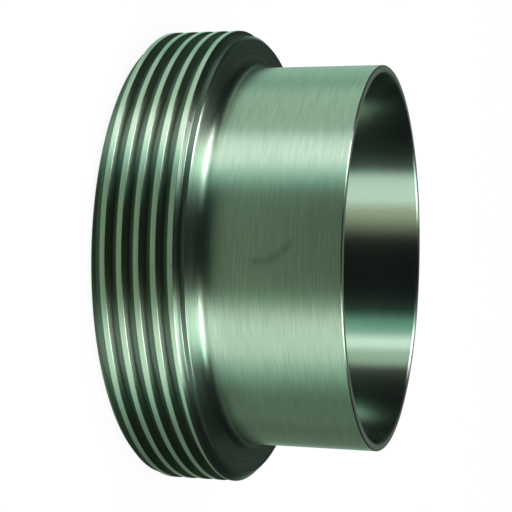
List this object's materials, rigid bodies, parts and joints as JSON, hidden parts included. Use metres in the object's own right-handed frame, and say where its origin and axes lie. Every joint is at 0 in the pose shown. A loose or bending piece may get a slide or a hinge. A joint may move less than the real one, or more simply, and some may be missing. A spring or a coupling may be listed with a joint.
{
  "type": "threaded weld ferrule",
  "caption": "Stainless steel ferrule for a hygienic pipe union: a thin plain tube end for welding and a short collar with a coarse right-hand outer thread.",
  "frame": {"origin": "centre of the front face of the threaded collar, which it stands on", "axes": "+Z along the bore axis from the threaded end to the tube end; the thread's first groove is placed from the +X side; the picture looks from -Y with +Z to the right"},
  "size_m": [0.0912, 0.0912, 0.0443],
  "materials": {
    "steel": "turned and brushed round the axis, satin outside and bright in the bore"
  },
  "bodies": {
    "root": {"weld_ferrule": "steel"}
  },
  "joints": []
}
